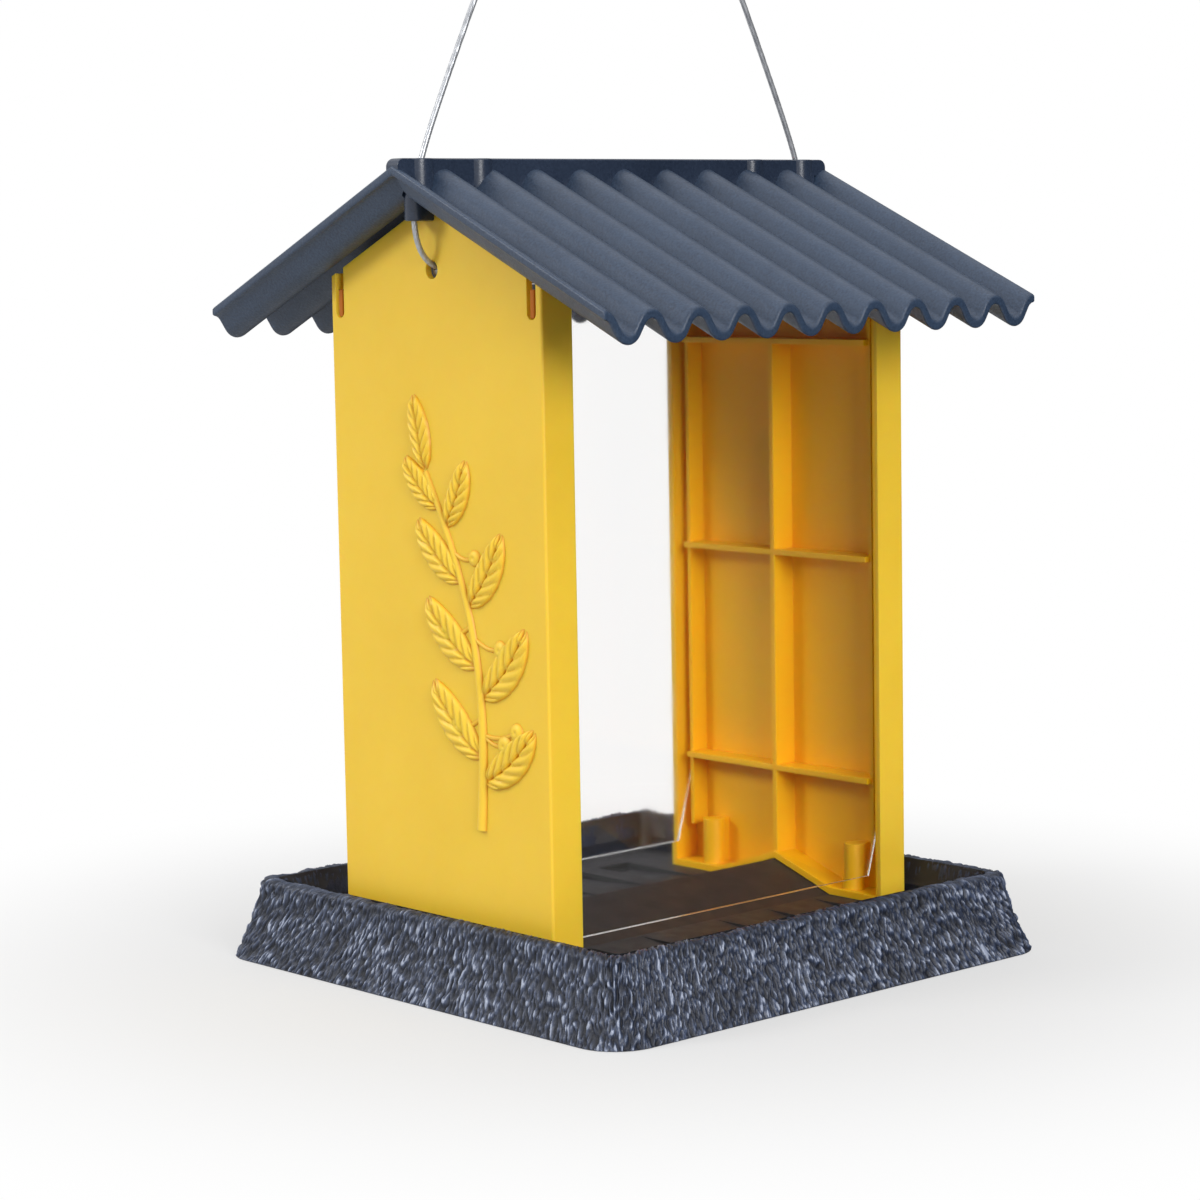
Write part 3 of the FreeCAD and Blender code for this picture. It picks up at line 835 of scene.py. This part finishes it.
def cable_guide(side):
    """Tongue under the ridge that leads the cable past the end wall."""
    outline = [(GUIDE_INNER, GUIDE_HALF), (GUIDE_INNER, -GUIDE_HALF)]
    outline += arc(GUIDE_NOSE, 0, GUIDE_HALF, -math.pi / 2, math.pi / 2)
    slot = cable_slot(GUIDE_INNER + GUIDE_WALL)
    loops = [[(side * x, side * y) for x, y in loop] for loop in (outline, slot)]
    return slab("cable_guide", loops[0], loops[1:], GUIDE_BOTTOM, GUIDE_TOP, GUIDE_EDGE_ROUND)


# Cable

def cable_points():
    """Points along the cable's route, read from a NURBS spline through its control points."""
    route = [(-x, z) for x, z in CABLE_LEG] + CABLE_LEG[::-1]
    curve = bpy.data.curves.new("cable_route", "CURVE")
    curve.dimensions = "3D"
    curve.resolution_u = 24
    spline = curve.splines.new("NURBS")
    spline.points.add(len(route) - 1)
    for point, (x, z) in zip(spline.points, route):
        point.co = (x * MM, 0, z * MM, 1)
    spline.order_u = 3
    spline.use_endpoint_u = True
    line = mesh_from(curve)
    points = np.array([v.co for v in line.vertices]) / MM
    bpy.data.meshes.remove(line)
    return points


def stranded_cable(points):
    """Tube along the points whose surface shows the twist of its strands."""
    around = np.linspace(0, 2 * math.pi, STRAND_SIDES * CABLE_STRANDS, endpoint=False)
    tangent = np.gradient(points, axis=0)
    tangent /= np.linalg.norm(tangent, axis=1, keepdims=True)
    aside = np.array((0.0, 1.0, 0.0))
    travelled = np.concatenate([[0], np.cumsum(np.linalg.norm(np.diff(points, axis=0), axis=1))])
    rings = []
    for centre, direction, length in zip(points, tangent, travelled):
        other = np.cross(direction, aside)
        twist = 2 * math.pi * length / CABLE_LAY
        strands = np.cos(CABLE_STRANDS * (around - twist))
        radius = (CABLE_DIAMETER / 2 - STRAND_DEPTH + STRAND_DEPTH * strands)[:, None]
        rings.append(centre + radius * (np.cos(around)[:, None] * aside + np.sin(around)[:, None] * other))
    count = len(around)
    faces = grid_faces(len(rings), count, closed=True)
    faces += [tuple(range(count)), tuple(reversed(range((len(rings) - 1) * count, len(rings) * count)))]
    return mesh_of("hanger_cable", np.concatenate(rings), faces)


# Sprig

def leaf(base, heading, length, width, bend):
    """Raised leaf with a midrib and side veins, as points and faces."""
    rows, columns = 44, 25
    points = []
    place = np.array(base, float)
    for i in range(rows):
        s = i / (rows - 1)
        angle = heading + bend * s
        ahead = np.array((math.cos(angle), math.sin(angle)))
        if i:
            place = place + ahead * length / (rows - 1)
        left = np.array((-ahead[1], ahead[0]))
        half = width / 2 * LEAF_FULLNESS * (s ** 0.7) * ((1 - s) ** 0.75)
        taper = min(1.0, 6 * s, 7 * (1 - s))
        for t in np.linspace(-1, 1, columns):
            dome = math.sqrt(max(0.0, 1 - t ** 6))
            midrib = math.exp(-(t * half / MIDRIB_WIDTH) ** 2)
            vein = 0.5 + 0.5 * math.cos(2 * math.pi * (VEIN_COUNT * s - VEIN_SLANT * abs(t)))
            height = LEAF_HEIGHT - MIDRIB_DEPTH * midrib - VEIN_DEPTH * vein ** 4
            points.append((*(place + left * half * t), taper * dome * height - LEAF_SINK))
    return points, grid_faces(rows, columns)


def ridge(line, radii):
    """Half-round raised stem along a flat line, as points and faces."""
    ahead = np.gradient(line, axis=0)
    ahead /= np.linalg.norm(ahead, axis=1, keepdims=True)
    turns = np.linspace(0, math.pi, 9)
    points = []
    for place, direction, radius in zip(line, ahead, np.linspace(*radii, len(line))):
        left = np.array((-direction[1], direction[0]))
        for turn in turns:
            height = STEM_FULLNESS * radius * math.sin(turn) - STEM_SINK
            points.append((*(place + left * radius * math.cos(turn)), height))
    return points, grid_faces(len(line), len(turns))


def berry(centre, radius):
    """Low round berry with a dimple, as points and faces."""
    rows, columns = 10, 24
    points = []
    for turn in np.linspace(0, math.pi / 2, rows):
        across = radius * math.cos(turn)
        dimple = DIMPLE_DEPTH * math.exp(-(across / DIMPLE_WIDTH) ** 2)
        height = BERRY_HEIGHT * math.sin(turn) - dimple - STEM_SINK
        for angle in np.linspace(0, 2 * math.pi, columns, endpoint=False):
            points.append((centre[0] + across * math.cos(angle),
                           centre[1] + across * math.sin(angle), height))
    return points, grid_faces(rows, columns, closed=True)


def sprig(side):
    """Leafy sprig in low relief on the outer face of one end wall."""
    s = np.linspace(0, 1, 60)
    sway = STEM_BEND * np.sin(STEM_BEND_TURN * s)
    stem = np.stack([STEM_FOOT[0] + STEM_LEAN * s + sway, STEM_FOOT[1] + STEM_RISE * s], 1)

    def on_stem(share):
        return stem[int(round(share * (len(stem) - 1)))]

    shapes = [ridge(stem, STEM_RADII)]
    for share, heading, length, width, bend in LEAVES:
        shapes.append(leaf(on_stem(share), math.radians(heading), length, width, bend))
    way = np.linspace(0, 1, 10)[:, None]
    sag = np.array((0, -STALK_SAG)) * np.sin(math.pi * way)
    for share, across, up, radius in BERRIES:
        root = on_stem(share)
        centre = root + np.array((across, up))
        shapes.append(ridge(root + (centre - root) * way + sag, STALK_RADII))
        shapes.append(berry(centre, radius))
    points, faces = [], []
    for shape_points, shape_faces in shapes:
        faces += [tuple(k + len(points) for k in f) for f in shape_faces]
        points += [(side * (WALL_OUTER + height), side * across, up) for across, up, height in shape_points]
    return face_outwards(mesh_of("sprig", points, faces))


# Camera and studio

def towards(turn, rise):
    """Direction with a turn round the object, from its front, and a rise above the floor."""
    return Vector((math.sin(turn) * math.cos(rise), -math.cos(turn) * math.cos(rise), math.sin(rise)))


def look_from_photograph():
    right = Vector((math.cos(CAMERA_TURN), math.sin(CAMERA_TURN), 0))
    back = towards(CAMERA_TURN, CAMERA_RISE)
    up = back.cross(right)
    place = Vector((0, 0, CAMERA_AIM_HEIGHT)) + right * CAMERA_ASIDE + back * CAMERA_DISTANCE
    rolled_right = right * math.cos(CAMERA_ROLL) + up * math.sin(CAMERA_ROLL)
    rolled_up = up * math.cos(CAMERA_ROLL) - right * math.sin(CAMERA_ROLL)
    camera = placed("camera", bpy.data.cameras.new("camera"))
    camera.data.sensor_width = CAMERA_SENSOR
    camera.data.lens = CAMERA_LENS
    camera.data.clip_start = 0.01
    camera.data.clip_end = 100
    axes = Matrix((rolled_right, rolled_up, back)).transposed().to_4x4()
    camera.matrix_world = Matrix.Translation(place * MM) @ axes
    bpy.context.scene.camera = camera


def seen_share(tree, backdrop):
    """1 for rays that show the white: from the camera, straight through windows, and mirrored towards it."""
    path = add_node(tree, "ShaderNodeLightPath").outputs
    straight = add_node(tree, "ShaderNodeMath", {0: path["Glossy Depth"], 1: 0.5}, operation="LESS_THAN")
    return most_of(tree, path["Is Camera Ray"],
                   product(tree, path["Is Transmission Ray"], straight.outputs[0]),
                   product(tree, path["Is Glossy Ray"], backdrop))


def studio_world():
    """White where it is seen; its light comes from the backdrop and from above, the room side is dim."""
    world = bpy.data.worlds.new("studio")
    bpy.context.scene.world = world
    world.use_nodes = True
    tree = world.node_tree
    background = tree.nodes["Background"]
    background.inputs["Color"].default_value = grey(1.0)
    direction = add_node(tree, "ShaderNodeTexCoord").outputs["Generated"]
    backdrop = smooth_step(tree, dot_product(tree, direction, towards(ROOM_TURN, 0)), *ROOM_FADE)
    around = mixed_value(tree, backdrop, ROOM_LIGHT, BACKDROP_LIGHT)
    overhead = smooth_step(tree, parts_of(tree, direction)["Z"], *OVERHEAD_FADE)
    light = mixed_value(tree, overhead, around, OVERHEAD_LIGHT)
    feed(tree, background, Strength=most_of(tree, light, seen_share(tree, backdrop)))


def floor_material():
    """Pale floor: white where it is seen, apart from the shadow, and clear to rays mirrored at the room."""
    material, tree, shader = new_material("floor_white", Roughness=0.9, Base_Color=grey(FLOOR_GREY))
    place = add_node(tree, "ShaderNodeTexCoord").outputs["Object"]
    distance = add_node(tree, "ShaderNodeVectorMath", {0: place}, operation="LENGTH").outputs["Value"]
    outside = smooth_step(tree, distance, *FLOOR_HIDDEN)
    fade = mixed_value(tree, smooth_step(tree, distance, *FLOOR_FADE), FLOOR_SHADOW_WHITE, 1.0)
    backdrop = smooth_step(tree, dot_product(tree, place, towards(ROOM_TURN, 0)), *FLOOR_ROOM_FADE)
    white = add_node(tree, "ShaderNodeEmission", {"Color": grey(1.0)}).outputs["Emission"]
    seen = product(tree, product(tree, outside, fade), seen_share(tree, backdrop))
    pale = mixed_shader(tree, seen, shader.outputs["BSDF"], white)
    path = add_node(tree, "ShaderNodeLightPath").outputs
    mirrored = product(tree, mixed_value(tree, backdrop, 1.0, 0.0), path["Glossy Depth"])
    clear = add_node(tree, "ShaderNodeBsdfTransparent").outputs["BSDF"]
    show_surface(tree, mixed_shader(tree, mirrored, pale, clear))
    return material


def studio_floor():
    """Round floor that keeps the shadow and turns into the white background."""
    mesh = bpy.data.meshes.new("floor")
    rim = [(x, y, 0) for x, y in arc(0, 0, FLOOR_RADIUS, 0, 2 * math.pi, 97)[:-1]]
    mesh.from_pydata(rim, [], [tuple(range(len(rim)))])
    mesh.materials.append(floor_material())
    floor = placed("floor", mesh)
    floor.location.z = -FLOOR_DROP


def studio_lamp(name, turn, rise, distance, size, power):
    lamp = bpy.data.lights.new(name, "AREA")
    lamp.shape = "DISK"
    lamp.size = size
    lamp.energy = power
    holder = placed(name, lamp)
    place = towards(math.radians(turn), math.radians(rise)) * distance + LAMP_AIM
    holder.location = place
    holder.rotation_euler = (LAMP_AIM - place).to_track_quat("-Z", "Y").to_euler()


def studio():
    bpy.context.scene.view_settings.view_transform = "Standard"
    studio_world()
    studio_floor()
    for lamp in LAMPS:
        studio_lamp(*lamp)


# Pieces

def dress_cable():
    points = cable_points()
    cable = shown("hanger_cable_stranded", stranded_cable(points), "feeder_body", coated_cable(),
                  smooth_angle=60)
    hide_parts("hanger_cable")


def dress_tray():
    skirt = shown("tray_skirt", rough_skirt(), "feeder_body", bark_plastic(), smooth_angle=180)
    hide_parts("tray")
    shown("tray_inside", tray_inside(), "feeder_body", tray_plastic(), smooth_angle=30)


def dress_walls():
    wall, relief = wall_plastic(), sprig_plastic()
    for end, side in (("left", -1), ("right", 1)):
        node = end + "_end_wall"
        mesh = softened_copy(node, WALL_EDGE_SOFTENING)
        piece = shown(node + "_moulded", mesh, "feeder_body", wall)
        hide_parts(node)
        shown(end + "_wall_sprig", sprig(side), "feeder_body", relief, smooth_angle=60)


def dress_windows():
    clear = clear_plastic()
    for node in ("front_window", "rear_window"):
        mesh = softened_copy(node, WINDOW_EDGE_SOFTENING)
        piece = shown(node + "_sheet", mesh, node, clear)
        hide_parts(node)


def dress_roof():
    slate, bar = slate_plastic(), ridge_plastic()
    front = shown("roof_front_slope", corrugated_slope(1), "roof", slate, smooth_angle=50)
    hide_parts("roof")
    shown("roof_rear_slope", corrugated_slope(-1), "roof", slate, smooth_angle=50)
    shown("roof_ridge_bar", ridge_bar(), "roof", bar, smooth_angle=40)
    for end, side in (("left", -1), ("right", 1)):
        shown("roof_%s_cable_guide" % end, cable_guide(side), "roof", bar, smooth_angle=40)


def dress_metal():
    """Metals of the cable's stops and the screws, which keep their CAD shapes. The stops' steel is painted
    darker, as painted shade of the holes they sit in.
    """
    # painted shade: the stops' steel is darkened for the holes they sit in
    steel = bright_metal("stop_metal", srgb(104, 100, 96), srgb(134, 130, 124))
    zinc = bright_metal("screw_zinc", srgb(168, 168, 164), srgb(202, 200, 194))
    for name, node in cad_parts.items():
        if "stop" in name or "screw" in name:
            node.data.materials.clear()
            node.data.materials.append(steel if "stop" in name else zinc)


look_from_photograph()
studio()
dress_cable()
dress_tray()
dress_walls()
dress_windows()
dress_roof()
dress_metal()
